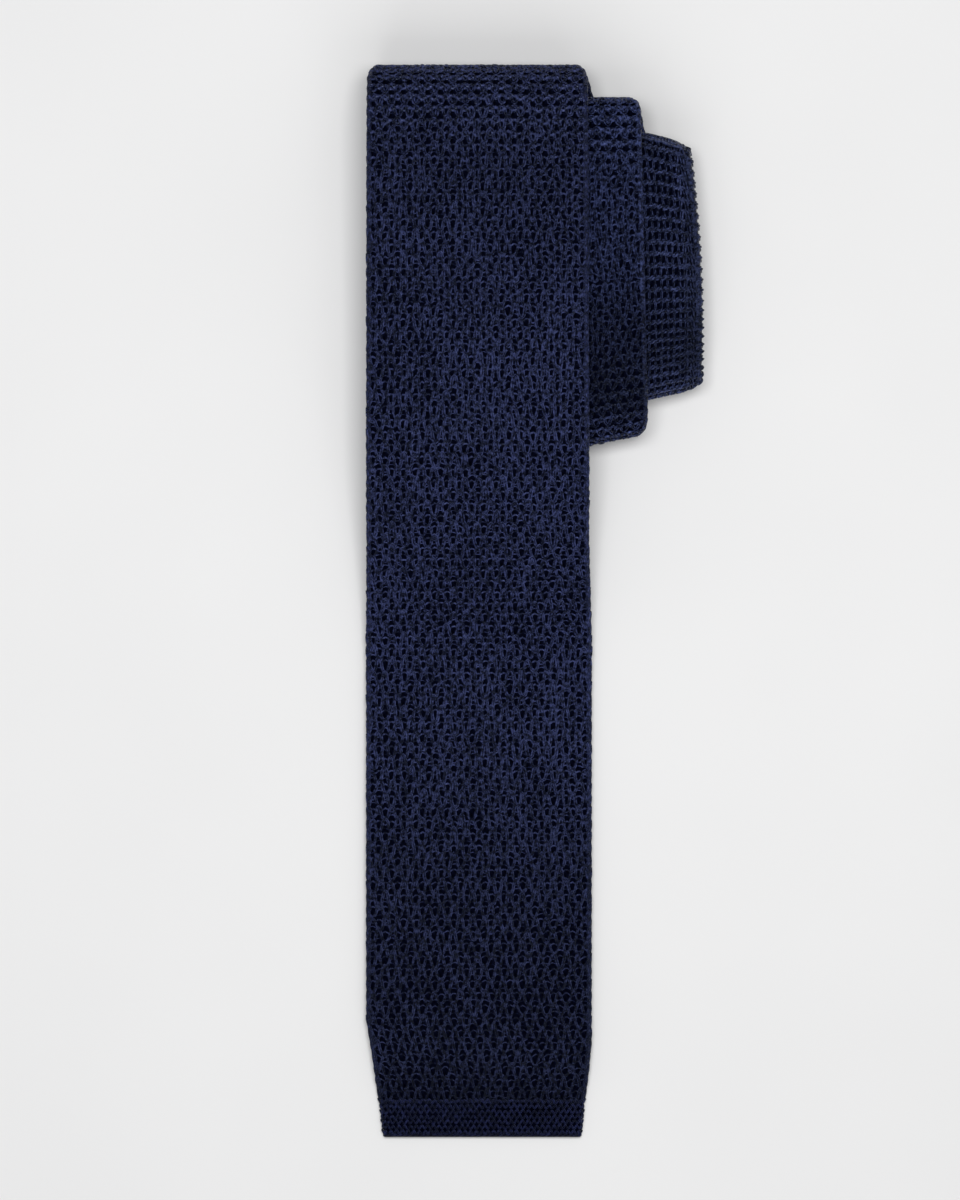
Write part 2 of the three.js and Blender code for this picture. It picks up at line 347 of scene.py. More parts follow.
def quad_mesh(name, parts, material):
    """An object at the origin, of smooth four-sided faces, with its own UV map.

    Where yarn would reach into the table it is pressed flat on it.
    """
    points, quads, uv = merged(parts)
    points[:, 2] = np.maximum(points[:, 2], PRESSED)
    mesh = bpy.data.meshes.new(name)
    mesh.vertices.add(len(points))
    mesh.vertices.foreach_set("co", ((points - CENTRE) * MM).astype(np.float32).ravel())
    mesh.loops.add(quads.size)
    mesh.loops.foreach_set("vertex_index", quads.astype(np.int32).ravel())
    mesh.polygons.add(len(quads))
    mesh.polygons.foreach_set("loop_start", np.arange(0, quads.size, 4, dtype=np.int32))
    mesh.polygons.foreach_set("use_smooth", np.ones(len(quads), bool))
    layer = mesh.uv_layers.new(name="thread")
    layer.data.foreach_set("uv", uv.astype(np.float32).ravel())
    mesh.update(calc_edges=True)
    mesh.validate()
    mesh.materials.append(material)
    made = bpy.data.objects.new(name, mesh)
    bpy.context.scene.collection.objects.link(made)
    return made


def merged(parts):
    """Several sets of points, quads and UV as one."""
    points, quads, uv = zip(*parts)
    starts = np.cumsum([0] + [len(own) for own in points])
    quads = [own + start for own, start in zip(quads, starts)]
    return np.vstack(points), np.vstack(quads), np.vstack(uv)


def frame_along(centre, above, closed):
    """The side of each path, which is its direction crossed with the way up from the cloth,
    and its own up, which is the side crossed with the direction."""
    if closed:
        path = unit(np.roll(centre, -1, axis=1) - np.roll(centre, 1, axis=1))
    else:
        path = unit(np.gradient(centre, axis=1))
    side = unit(np.cross(path, above))
    return side, unit(np.cross(side, path))


def strand(centre, above, radius, sides, closed):
    """Round tubes along rows of centre points: cosine to the path's side and sine up.

    Open tubes are closed by flat ends, for which the sides are even in number. The UV is
    millimetres along and the share round.
    """
    rows, count = centre.shape[:2]
    side, up = frame_along(centre, above, closed)
    if closed:
        steps = np.linalg.norm(np.roll(centre, -1, axis=1) - centre, axis=-1)
    else:
        steps = np.linalg.norm(np.diff(centre, axis=1), axis=-1)
    size = np.broadcast_to(radius, (rows, count))[..., None, None]
    turn = (ROUND * np.arange(sides) / sides)[:, None]
    points = (centre[:, :, None] + size * np.cos(turn) * side[:, :, None]
              + size * np.sin(turn) * up[:, :, None]).reshape(-1, 3)

    index = np.arange(rows * count * sides).reshape(rows, count, sides)
    first = index if closed else index[:, :-1]
    second = np.roll(index, -1, axis=1) if closed else index[:, 1:]
    corners = [first, second, np.roll(second, -1, axis=2), np.roll(first, -1, axis=2)]
    walls = np.stack(corners, axis=-1)
    end = np.cumsum(steps, axis=1)
    start = end - steps
    shape = walls.shape[:3]
    low = np.broadcast_to(np.arange(sides) / sides, shape)
    high = low + 1 / sides
    u0, u1 = (np.broadcast_to(u[..., None], shape) for u in (start, end))
    uv = np.stack([u0, low, u1, low, u1, high, u0, high], axis=-1).reshape(-1, 8)
    quads = walls.reshape(-1, 4)
    if not closed:
        fan = np.array([(0, m, m + 1, m + 2) for m in range(1, sides - 2, 2)])
        head = index[:, 0][:, fan].reshape(-1, 4)
        foot = index[:, -1][:, fan[:, ::-1]].reshape(-1, 4)
        quads = np.vstack([quads, head, foot])
        uv = np.vstack([uv, np.zeros((len(head) + len(foot), 8))])
    return points, quads, uv


# How far each of two plies lies off the yarn's centre, and how thick it is, as shares of
# the yarn's radius
PLY_OFF = 0.6
PLY_RADIUS = 0.47
# How far over the yarn a second point is taken, to find the way up from the cloth
ABOVE_STEP = 0.1


def laid(arc, way, lift, radius, sides, plies=1, twist=0.0, closed=False):
    """Yarn whose centre lies over the tube at these places.

    A yarn of two plies has them on either side of the centre, each a little less than half
    as thick, and turned about the centre by the twist, which is 0 where they lie flat.
    """
    arc, way, lift = np.broadcast_arrays(arc, way, lift)
    centre = over(arc, way, lift)
    above = unit(over(arc, way, lift + ABOVE_STEP) - centre)
    if plies == 1:
        return [strand(centre, above, radius, sides, closed)]
    side, up = frame_along(centre, above, closed)
    size = np.broadcast_to(radius, arc.shape)[..., None]
    turn = np.broadcast_to(twist, arc.shape)[..., None]
    apart = PLY_OFF * size * (np.cos(turn) * side + np.sin(turn) * up)
    return [strand(centre + end * apart, above, PLY_RADIUS * size[..., 0], sides, closed)
            for end in (1, -1)]


def wander(seed, rows, places, step):
    """A smooth random line for each row, from -1 to 1: random knots a step apart, joined
    by a cosine ease."""
    rng = np.random.default_rng(seed)
    position = (places - places.min()) / step
    knots = rng.uniform(-1, 1, (len(rows), int(position.max()) + 3))
    low = position.astype(int)
    share = (1 - np.cos(PI * (position - low))) / 2
    return knots[:, low] * (1 - share) + knots[:, low + 1] * share


def near_edge(way, flat, start, full):
    """A share that grows from 0 to 1 between two distances short of the flat's end."""
    return ease(np.abs(way), flat - start, flat - full)


def courses_between(start, end, row):
    """Numbers of the courses whose middle lies between two arc lengths of the tube."""
    numbers = np.arange(int(start / row) - 1, int(end / row) + 2)
    middles = (numbers + 0.5) * row
    return numbers[(middles >= start) & (middles < end)]


def places_along(low, high, each):
    """Places from low to high, with so many to a stitch."""
    return np.linspace(low, high, int(round((high - low) * each)) + 1)[None]


# Points to a stitch of the loops, bars and ridges, and whether the net has its thin bar:
# fine where the yarn is in full view, and plain where it is seen from the side alone
FINE = dict(points=10, plies=2, bar_points=5, thin_bar=True, ridge_points=14, ridge_sides=6)
PLAIN = dict(points=8, plies=1, bar_points=4, thin_bar=False, ridge_points=8, ridge_sides=4)
SIDES = 4

# The net's shape: its value in the open cloth, and what comes to it at a fold, towards the
# hem and at an edge. Along and up these are shares of a stitch and of a course, and radii
# and lifts are in millimetres.
NET = dict(
    steep=(0.6, 0, -0.36, 0),
    narrow=(0.16, -0.3, 0.1, 0),
    reach=(0.62, -0.24, 0, -0.12),
    uneven=(0.3, -0.2, 0, 0),
    stray=(0.13, -0.09, 0, 0),
    radius=(0.46, 0.09, -0.085, 0),
    lift=(-0.3, -0.14, 0, 0),
    crown_lift=(0.2, -0.12, 0, 0),
    stray_lift=(0.07, -0.07, 0, 0),
    bar_height=(-0.8, -0.08, 0, 0),
    bar_radius=(0.3, 0.3, -0.09, 0),
    bar_lift=(-0.6, 0, 0, 0.1),
)
# At an edge, from and to so many millimetres short of the flat's end, the legs' steepness
# and the crowns' lift grow less by this share
NET_EDGE = (2.6, 0.2)
EDGE_CALM = 0.5
# How far the loops' thickness varies, as a share, and their plies' twist, in radians
UNEVEN_YARN = 0.18
LOOP_TWIST = 0.9
# The bar under the crowns, and the thinner one between the legs
BAR = dict(wave=0.16, stray=0.08, lift_wave=0.05)
THIN = dict(height=-0.3, wave=0.1, stray=0.12, lift=-0.64, radius=0.26, uneven=0.05, fold=0.5)
# Stitches between the knots of the net's random lines
NET_KNOTS = dict(loose=0.9, slack=0.7, twist=0.5, bar=1.1, thin=0.8)
# How near to a fold, in millimetres of arc length, the net is pushed together, and how far
# past the third layer's bottom fold that starts to end, and its share there
FOLD_SPREAD = 14
THIRD_FOLD = dict(start=2, share=0.8)
# Towards the hem the net grows more open between these arc lengths, and after the third
# layer's bottom fold it does so by a share, over so many millimetres
FOOT = (20, 110)
THIRD_FOOT = dict(spread=40, share=0.8)


def folded(middle):
    """How far the net is pushed together by a fold, from 0 to 1: eased round the top fold,
    before the third layer's top fold and after its bottom fold."""
    top = (ease(middle, arc_of(1) - FOLD_SPREAD, arc_of(1) + FOLD_SPREAD)
           * (middle < arc_of(2)))
    third_top = ease(middle, arc_of(5) - FOLD_SPREAD, arc_of(5)) * (middle < arc_of(6))
    start = arc_of(4) + THIRD_FOLD["start"]
    bottom = (1 - ease(middle, start, start + FOLD_SPREAD)) * (middle > arc_of(3))
    return top + third_top + THIRD_FOLD["share"] * bottom


def opened(middle):
    """How far the net lies open, from 0 to 1: eased towards the hem, and from the third
    layer's bottom fold on."""
    third = ease(middle, arc_of(4), arc_of(4) + THIRD_FOOT["spread"]) + (middle < arc_of(3))
    return np.maximum(1 - ease(middle, *FOOT), THIRD_FOOT["share"] * (1 - third))


def net_values(fold, foot, edge):
    """The net's values here: the open cloth's, and what a fold, the hem and an edge add."""
    return {name: plain + at_fold * fold + at_foot * foot + at_edge * edge
            for name, (plain, at_fold, at_foot, at_edge) in NET.items()}


def net_courses(numbers, low, high, detail, stitches=NET_ROUND, seed=1):
    """Courses of the net stitch: one looped yarn and two bars for each.

    The loop goes along by t plus a part of the sine of 4 pi t, which makes its legs steep,
    less a part of the sine of 2 pi t, which makes its crown narrower than its foot. It goes
    up and down by the cosine of 2 pi t, and every other course is half a stitch further.
    Behind it one bar crosses under the crowns and a thinner one between the legs. Near the
    edges the loops grow flatter.
    """
    number = numbers[:, None]
    middle = (number + 0.5) * NET_ROW
    s = stations(middle)
    stitch = round_length(s) / stitches
    flat = s["width"] / 2 - EDGE
    fold, foot = folded(middle), opened(middle)

    t = places_along(low, high, detail["points"])
    phase = t - 0.5 * (number % 2)
    edge = near_edge(t * stitch, flat, *NET_EDGE)
    calm = 1 - EDGE_CALM * edge
    here = net_values(fold, foot, edge)
    loose = wander(seed, numbers, t[0], NET_KNOTS["loose"])
    slack = wander(seed + 1, numbers, t[0], NET_KNOTS["slack"])
    along = (t + calm * here["steep"] / (4 * PI) * np.sin(4 * PI * phase)
             - here["narrow"] / ROUND * np.sin(ROUND * phase) + here["stray"] * loose)
    crown = np.cos(ROUND * phase)
    height = here["reach"] * (1 + here["uneven"] * slack) * crown + here["stray"] * loose
    radius = here["radius"] * (1 + UNEVEN_YARN * slack)
    lift = here["lift"] + calm * here["crown_lift"] * crown + here["stray_lift"] * loose
    twist = LOOP_TWIST * wander(seed + 3, numbers, t[0], NET_KNOTS["twist"])
    loops = laid(middle + NET_ROW * height, along * stitch, lift, radius, SIDES,
                 detail["plies"], twist)

    t = places_along(low, high, detail["bar_points"])
    wave = np.cos(ROUND * (t - 0.5 * (number % 2)))
    here = net_values(fold, foot, near_edge(t * stitch, flat, *NET_EDGE))
    stray = wander(seed + 2, numbers, t[0], NET_KNOTS["bar"])
    height = here["bar_height"] + BAR["wave"] * wave + BAR["stray"] * stray
    lift = here["bar_lift"] + BAR["lift_wave"] * wave
    bars = laid(middle + NET_ROW * height, t * stitch, lift, here["bar_radius"], SIDES)
    if not detail["thin_bar"]:
        return loops + bars

    slack = wander(seed + 4, numbers, t[0], NET_KNOTS["thin"])
    height = THIN["height"] + THIN["wave"] * wave + THIN["stray"] * slack
    radius = (THIN["radius"] + THIN["uneven"] * slack) * (1 - THIN["fold"] * fold)
    cross = laid(middle + NET_ROW * height, t * stitch, THIN["lift"] + THIN["uneven"] * slack,
                 radius, SIDES)
    return loops + bars + cross


# The neck's looped yarn, its ridges and their tips: steepness, strays and heights in shares
# of a stitch and a course, and lifts, radii and places short of the flat's end or off the
# rolled fold in millimetres
RIB = dict(steep=0.75, stray=0.03, reach=0.6, uneven=0.05, lift=-0.5, radius=0.33, twist=0.7,
           edge=(4.4, 2.4), edge_radius=0.3, roll=(1.5, 4.5), roll_radius=0.3)
RIDGE = dict(height=0.5, wave=0.1, stray=0.05, lift=-0.14, lift_wave=0.14, radius=0.54,
             edge=(4.5, 1.5), edge_lift=-0.3, edge_radius=-0.16)
TIP = dict(start=(0.6, -0.8), end=(-2.2, -3.4), lift=0.62, radius=0.14)
RIB_KNOTS = dict(loop=0.8, twist=0.5, ridge=0.8, roll=0.6)
# The share of its height that a course is pushed to at the neck's bottom fold, and between
# what places after the fold it grows to its whole height
PUSHED = dict(share=0.72, start=3, end=24, samples=2001)
ROLL = dict(strands=6, first=0.4, apart=0.72, stray=0.12, lift=-0.42, uneven=0.08,
            radius=0.42, points=4, sides=6)


def even_rows(start, end):
    """Middles of the neck's courses between two arc lengths, all a course apart."""
    return (courses_between(start, end, RIB_ROW) + 0.5) * RIB_ROW


def pushed_rows(start, end):
    """Middles of the neck's courses where they lie closer near its bottom fold: the arc
    lengths where the sum of the steps over the local height passes each half number."""
    arc = np.linspace(start, end, PUSHED["samples"])
    grown = ease(arc, NECK_FLAT + PUSHED["start"], NECK_FLAT + PUSHED["end"])
    height = RIB_ROW * (PUSHED["share"] + (1 - PUSHED["share"]) * grown)
    count = np.concatenate([[0], np.cumsum(np.diff(arc) / height[1:])])
    return np.interp(np.arange(0.5, count[-1]), count, arc)


def rib_courses(middles, low, high, detail, seed=11):
    """Courses of the neck's ladder rib, all in line: a looped yarn and a raised ridge.

    The loop goes along by t plus a part of the sine of 4 pi t, which sets its legs upright,
    and up and down by the cosine of 2 pi t. The ridge runs along the crowns, half a course
    up plus a part of the sine of 4 pi t, and is lifted by the cosine of 4 pi t. Its two
    plies turn once to a stitch, and it ends in a bump at the edges.
    """
    middle = middles[:, None]
    row = np.gradient(middles)[:, None]
    s = stations(middle)
    stitch = round_length(s) / RIB_ROUND
    flat = s["width"] / 2 - EDGE
    t = places_along(low, high, detail["points"])
    edge = near_edge(t * stitch, flat, *RIB["edge"])
    loose = wander(seed, middles, t[0], RIB_KNOTS["loop"])
    along = t + RIB["steep"] / (4 * PI) * np.sin(4 * PI * t) + RIB["stray"] * loose
    height = (RIB["reach"] + RIB["uneven"] * loose) * np.cos(ROUND * t)
    rolled = 1 - ease(np.abs(middle - NECK_ROLL), *RIB["roll"])
    radius = RIB["radius"] + RIB["edge_radius"] * edge + RIB["roll_radius"] * rolled
    twist = RIB["twist"] * wander(seed + 2, middles, t[0], RIB_KNOTS["twist"])
    loops = laid(middle + row * height, along * stitch, RIB["lift"], radius, SIDES,
                 detail["plies"], twist)

    t = places_along(low, high, detail["ridge_points"])
    edge = near_edge(t * stitch, flat, *RIDGE["edge"])
    tip = (near_edge(t * stitch, flat, *TIP["start"])
           * (1 - near_edge(t * stitch, flat, *TIP["end"])))
    loose = wander(seed + 1, middles, t[0], RIB_KNOTS["ridge"])
    height = RIDGE["height"] + RIDGE["wave"] * np.sin(4 * PI * t) + RIDGE["stray"] * loose
    lift = (RIDGE["lift"] + RIDGE["edge_lift"] * edge + TIP["lift"] * tip
            + RIDGE["lift_wave"] * np.cos(4 * PI * t))
    radius = RIDGE["radius"] + RIDGE["edge_radius"] * edge + TIP["radius"] * tip
    ridges = laid(middle + row * height, t * stitch, lift, radius,
                  detail["ridge_sides"], detail["plies"], ROUND * t)
    return loops + ridges


def rolled_fold(low, high, seed=31):
    """The strands that run across the neck over its top fold, where the rib lies rolled:
    straight and evenly apart, each plus a random line of its own."""
    number = np.arange(ROLL["strands"])[:, None]
    t = places_along(low, high, ROLL["points"])
    stitch = round_length(stations(np.array([[NECK_ROLL]]))) / RIB_ROUND
    loose = wander(seed, number, t[0], RIB_KNOTS["roll"])
    arc = NECK_ROLL + ROLL["first"] - ROLL["apart"] * number + ROLL["stray"] * loose
    return laid(arc, t * stitch, ROLL["lift"] + ROLL["uneven"] * loose,
                ROLL["radius"], ROLL["sides"])


# The hem's loops, its cast-off cord and the ring where the net is picked up
HEM = dict(points=6, first=0.9, reach=0.42, uneven=0.1, stray=0.14, lift=-0.34, wave=0.18,
           stray_lift=0.08, radius=0.29, slack=0.05, seam=3)
CORD = dict(points=8, place=0.5, wave=0.05, lift=-0.5, radius=0.42)
RING = dict(lift=-0.64, radius=0.34)
HEM_KNOTS = dict(loose=1.5, slack=0.8)


def hem_courses(start, end, seed=21):
    """Fine tight courses right round the hem, half a stitch apart in turn, the twisted
    cast-off cord round its open end, and the ring where the net is picked up.

    A course goes up and down by the cosine of 2 pi t, and the cord a little by the sine of
    2 pi t, with its plies turning once in two stitches. Strays end at the hem's seam.
    """
    rows = int(round(abs(end - start) / HEM_ROW))
    toward = 1 if end > start else -1
    numbers = np.arange(rows)
    number = numbers[:, None]
    t = (np.arange(HEM_ROUND * HEM["points"]) / HEM["points"])[None]
    middle = start + toward * (number + HEM["first"]) * abs(end - start) / rows
    way = (t / HEM_ROUND - 0.5) * round_length(stations(middle))
    wave = np.cos(ROUND * (t - 0.5 * (number % 2)))
    seam = ease(HEM_ROUND / 2 - np.abs(t - HEM_ROUND / 2), 0, HEM["seam"])
    loose = seam * wander(seed, numbers, t[0], HEM_KNOTS["loose"])
    slack = seam * wander(seed + 1, numbers, t[0], HEM_KNOTS["slack"])
    height = (HEM["reach"] + HEM["uneven"] * slack) * wave + HEM["stray"] * loose
    loops = laid(middle + toward * HEM_ROW * height, way,
                 HEM["lift"] + HEM["wave"] * wave + HEM["stray_lift"] * loose,
                 HEM["radius"] + HEM["slack"] * slack, SIDES, closed=True)

    t = (np.arange(HEM_ROUND * CORD["points"]) / CORD["points"])[None]
    way = (t / HEM_ROUND - 0.5) * round_length(stations(np.array([[start]])))
    cord = laid(start + toward * (CORD["place"] + CORD["wave"] * np.sin(ROUND * t)), way,
                CORD["lift"], CORD["radius"], SIDES, 2, ROUND * t / 2, closed=True)
    way = (t / HEM_ROUND - 0.5) * round_length(stations(np.array([[end]])))
    ring = laid(end + toward * HALF_GAP, way, RING["lift"], RING["radius"], SIDES, closed=True)
    return loops + cord + ring


EDGE_STRANDS = dict(count=4, first=0.2, apart=0.8, step=0.8, lift=-0.42, radius=0.38,
                    ripple=0.16, ripple_shift=0.37, wave=0.1, wave_shift=0.21)


def edge_strands(start, end, side):
    """Strands that run lengthwise round one edge, evenly apart past the flat's end: each
    goes sideways by the sine and is lifted by the cosine of 2 pi times the courses along."""
    yarn = EDGE_STRANDS
    arc = np.linspace(start, end, int(abs(end - start) / yarn["step"]) + 1)[None]
    place = np.arange(yarn["count"])[:, None]
    ripple = np.sin(ROUND * (arc / NET_ROW + place * yarn["ripple_shift"]))
    wave = np.cos(ROUND * (arc / NET_ROW + place * yarn["wave_shift"]))
    off = yarn["first"] + yarn["apart"] * place + yarn["ripple"] * ripple
    way = side * (half_flat(stations(arc)) + off)
    return laid(arc, way, yarn["lift"] + yarn["wave"] * wave, yarn["radius"], SIDES)


# The shell's outer wall under the yarn's surface, its steps along, and its points across
# half a face and round an edge
SHELL_LIFT = -0.5
SHELL_STEP = 2.3
FACE_POINTS = 9
EDGE_POINTS = 7


def shell(start, end):
    """The thin hollow body of one part: a flattened tube round its hollow, open at both ends.

    Its ring goes along the face, round one edge, back under and round the other edge. The
    outer wall lies under the yarn and the inner wall on the hollow, and the two are joined
    at both ends. The UV is stitches round and courses along.
    """
    steps = max(3, int(abs(end - start) / SHELL_STEP) + 2)
    arc = np.linspace(start, end, steps)[:, None]
    s = stations(arc)
    flat = half_flat(s)
    faces = np.linspace(0, 1, FACE_POINTS)[1:-1]
    turns = np.linspace(0, 1, EDGE_POINTS)
    on_face = np.concatenate([faces, 1 + 0 * turns, 1 + 0 * faces])
    on_turn = np.concatenate([0 * faces, turns, 1 + 0 * faces])
    on_under = np.concatenate([0 * faces, 0 * turns, faces])
    way = on_face * flat + on_turn * PI * EDGE + on_under * flat
    ring = np.hstack([-way[:, ::-1], 0 * flat, way, 2 * flat + PI * EDGE])
    outer = over(arc, ring, np.full_like(ring, SHELL_LIFT))
    inner = over(arc, ring, np.full_like(ring, HOLLOW / 2 - EDGE))
    rows, count = ring.shape
    points = np.concatenate([outer.reshape(-1, 3), inner.reshape(-1, 3)])
    index = np.arange(2 * rows * count).reshape(2, rows, count)
    following = np.roll(index, -1, axis=2)
    outside = np.stack([index[0, :-1], following[0, :-1], following[0, 1:], index[0, 1:]], -1)
    inside = np.stack([index[1, :-1], index[1, 1:], following[1, 1:], following[1, :-1]], -1)
    head = np.stack([index[0, 0], index[1, 0], following[1, 0], following[0, 0]], -1)
    foot = np.stack([index[0, -1], following[0, -1], following[1, -1], index[1, -1]], -1)
    quads = np.concatenate([outside.reshape(-1, 4), inside.reshape(-1, 4), head, foot])
    around = np.tile((ring / (round_length(s) / NET_ROUND)).ravel(), 2)
    along = np.tile(np.repeat(arc[:, 0] / NET_ROW, count), 2)
    u, v = around[quads], along[quads]
    u = np.where(u - u.min(axis=1, keepdims=True) > NET_ROUND / 2, u - NET_ROUND, u)
    return points, quads, np.stack([u, v], axis=-1).reshape(-1, 8)


# Materials

SHEEN_TINT = (0.3, 0.38, 0.8, 1)
SHINE_TINT = (0.55, 0.66, 1, 1)
# Half the length that the painted shade is given over, in metres from the tie's middle
PAINTED_SHADE_SPAN = 0.15
EVEN = ((-PAINTED_SHADE_SPAN, 1.0), (PAINTED_SHADE_SPAN, 1.0))
# The yarn's slow and quick noises, to the metre, with the slow one's weight and the values
# of their sum at which the yarn is darkest and lightest
DRIFT = dict(scale=55.0, detail=1.0, weight=0.1)
FLECK = dict(scale=1050.0, detail=3.0, dark=0.46, light=0.77)
# Fine plies: millimetres of yarn to a turn, plies side by side, and their relief in metres
WIND = dict(length=0.9, plies=4, relief=0.00006)
# The body's colours, which are painted shade of the lower plies under the yarn, darkest in
# the relief's troughs, its relief in metres, and how many times as bright it is where it is
# bare, with the stitches over which that begins
BODY = dict(dark=(0.0003, 0.0004, 0.0018), light=(0.0018, 0.0025, 0.0096),
            relief=0.0003, bare=12.5, band=0.4)


def fill(tree, made, inputs):
    """Sets a node's sockets to values, or links them from other nodes' outputs."""
    for socket, value in inputs:
        if isinstance(value, bpy.types.NodeSocket):
            tree.links.new(value, made.inputs[socket])
        else:
            made.inputs[socket].default_value = value


def node(tree, kind, inputs=(), **settings):
    """A new node with these settings, and with these sockets filled."""
    made = tree.nodes.new(kind)
    for name, value in settings.items():
        setattr(made, name, value)
    fill(tree, made, inputs)
    return made


def math_node(tree, operation, *values):
    """The output of a Math node with this operation on these values or outputs."""
    return node(tree, "ShaderNodeMath", enumerate(values), operation=operation).outputs[0]


def product(tree, one, other):
    """The output of a node that multiplies two colours, channel by channel."""
    return node(tree, "ShaderNodeVectorMath", [(0, one), (1, other)],
                operation="MULTIPLY").outputs["Vector"]


def noise(tree, place, scale, detail):
    """The output of a noise over these coordinates."""
    return node(tree, "ShaderNodeTexNoise",
                [("Vector", place), ("Scale", scale), ("Detail", detail)]).outputs["Fac"]


def ramp_colour(tree, share, stops, interpolation="LINEAR"):
    """The colour that a share gives, between stops of a place and a colour each."""
    ramp = node(tree, "ShaderNodeValToRGB", [("Fac", share)])
    ramp.color_ramp.interpolation = interpolation
    elements = ramp.color_ramp.elements
    for place, _ in stops[1:-1]:
        elements.new(place)
    for element, (place, colour) in zip(elements, stops):
        element.position = place
        element.color = (*colour, 1)
    return ramp.outputs["Color"]


def painted_shade_along(tree, place, axis, painted_shade):
    """A grey factor of painted shade along one axis, eased between stops in metres
    from the tie's middle.
    """
    along = node(tree, "ShaderNodeSeparateXYZ", [("Vector", place)]).outputs[axis]
    share = node(tree, "ShaderNodeMapRange",
                 [("Value", along), ("From Min", -PAINTED_SHADE_SPAN), ("From Max", PAINTED_SHADE_SPAN)])
    stops = [((at + PAINTED_SHADE_SPAN) / (2 * PAINTED_SHADE_SPAN), (shade_factor, shade_factor, shade_factor)) for at, shade_factor in painted_shade]
    return ramp_colour(tree, share.outputs["Result"], stops, "EASE")


def own_map(tree):
    """The outputs of the mesh's own UV, split into X and Y."""
    uv = node(tree, "ShaderNodeUVMap", uv_map="thread").outputs["UV"]
    return node(tree, "ShaderNodeSeparateXYZ", [("Vector", uv)]).outputs


def material_of(name, roughness, sheen, specular):
    """A material with this gloss and sheen: itself, its node tree and its shader."""
    material = bpy.data.materials.new(name)
    material.use_nodes = True
    tree = material.node_tree
    shader = tree.nodes["Principled BSDF"]
    fill(tree, shader, [("Roughness", roughness), ("Sheen Weight", sheen),
                        ("Sheen Roughness", 0.35), ("Sheen Tint", SHEEN_TINT),
                        ("Specular IOR Level", specular), ("Specular Tint", SHINE_TINT)])
    return material, tree, shader


def cover(tree, shader, colour, height, strength, relief):
    """Gives the shader its colour, and a relief of this height."""
    bump = node(tree, "ShaderNodeBump",
                [("Height", height), ("Strength", strength), ("Distance", relief)])
    fill(tree, shader, [("Base Color", colour), ("Normal", bump.outputs["Normal"])])


def yarn_material(name, dark, light, roughness, specular, ply=0.9, painted_shade=EVEN,
                  side_painted_shade=EVEN):
    """Knitted silk yarn: its colour drifts slowly over the cloth and quickly from loop to
    loop, is darkened along and across the tie by painted shade, and fine plies wind round it."""
    material, tree, shader = material_of(name, roughness, sheen=0.05, specular=specular)
    place = node(tree, "ShaderNodeTexCoord").outputs["Object"]
    slow = noise(tree, place, DRIFT["scale"], DRIFT["detail"])
    quick = noise(tree, place, FLECK["scale"], FLECK["detail"])
    share = math_node(tree, "MULTIPLY_ADD", slow, DRIFT["weight"], quick)
    colour = ramp_colour(tree, share, [(FLECK["dark"], dark), (FLECK["light"], light)])
    # Painted shade: grey factors by place along and across the tie, multiplied into the colour
    shade_factor = product(tree, painted_shade_along(tree, place, "Y", painted_shade),
                   painted_shade_along(tree, place, "X", side_painted_shade))

    thread = own_map(tree)
    wind = math_node(tree, "MULTIPLY", thread["X"], ROUND / WIND["length"])
    turn = math_node(tree, "MULTIPLY_ADD", thread["Y"], ROUND * WIND["plies"], wind)
    cover(tree, shader, product(tree, colour, shade_factor), math_node(tree, "SINE", turn),
          ply, WIND["relief"])
    return material


def body_material(name, bare_from):
    """The cloth's body under the yarn: painted shade, dark as its lower plies lie in shade
    under the yarn, and darkest in the troughs of a low relief of the loops, which is the
    product of a wave along the stitches and a wave along the courses. From so many stitches
    off the middle on, where no yarn lies over it, it is as bright as the yarn."""
    material, tree, shader = material_of(name, roughness=0.9, sheen=0.0, specular=0.0)
    stitch = own_map(tree)
    across = math_node(tree, "SINE", math_node(tree, "MULTIPLY", stitch["X"], 2 * ROUND))
    along = math_node(tree, "SINE", math_node(tree, "MULTIPLY", stitch["Y"], ROUND))
    wave = math_node(tree, "MULTIPLY", across, along)
    height = math_node(tree, "MULTIPLY_ADD", wave, 0.5, 0.5)
    # Painted shade: dark under the yarn, and darkest where the relief is low
    colour = ramp_colour(tree, height, [(0, BODY["dark"]), (1, BODY["light"])])
    off = math_node(tree, "ABSOLUTE", stitch["X"])
    bare = node(tree, "ShaderNodeMapRange",
                [("Value", off), ("From Min", bare_from),
                 ("From Max", bare_from + BODY["band"]),
                 ("To Min", 1.0), ("To Max", BODY["bare"])])
    bright = node(tree, "ShaderNodeVectorMath",
                  [(0, colour), ("Scale", bare.outputs["Result"])], operation="SCALE")
    cover(tree, shader, bright.outputs["Vector"], height, 0.8, BODY["relief"])
    return material


# Painted shade on the yarn, as grey factors by place: along the tie the front grows darker
# towards the blade's end and below its top fold, the third layer near its bottom fold and the
# neck in two bands, and across the neck it grows darker at its right edge
FRONT_PAINTED_SHADE = ((-0.142, 0.23), (-0.117, 0.58), (-0.08, 0.69), (-0.03, 1.0), (0.06, 0.99),
               (0.09, 0.88), (0.125, 0.77), (0.136, 0.8), (0.142, 1.0))
THIRD_PAINTED_SHADE = ((0.04, 1.0), (0.0455, 1.0), (0.0495, 0.46), (0.053, 0.34), (0.062, 0.34),
               (0.07, 0.52), (0.09, 0.96), (0.135, 1.0))
RIB_PAINTED_SHADE = ((0.055, 1.0), (0.059, 0.93), (0.0625, 0.6), (0.071, 0.6), (0.08, 1.0),
             (0.112, 1.0), (0.122, 0.67), (0.15, 0.67))
RIB_SIDE_PAINTED_SHADE = ((0.0, 1.0), (0.0385, 1.0), (0.0405, 0.55), (0.046, 0.6))
NAVY_DARK = (0.0030, 0.0042, 0.015)

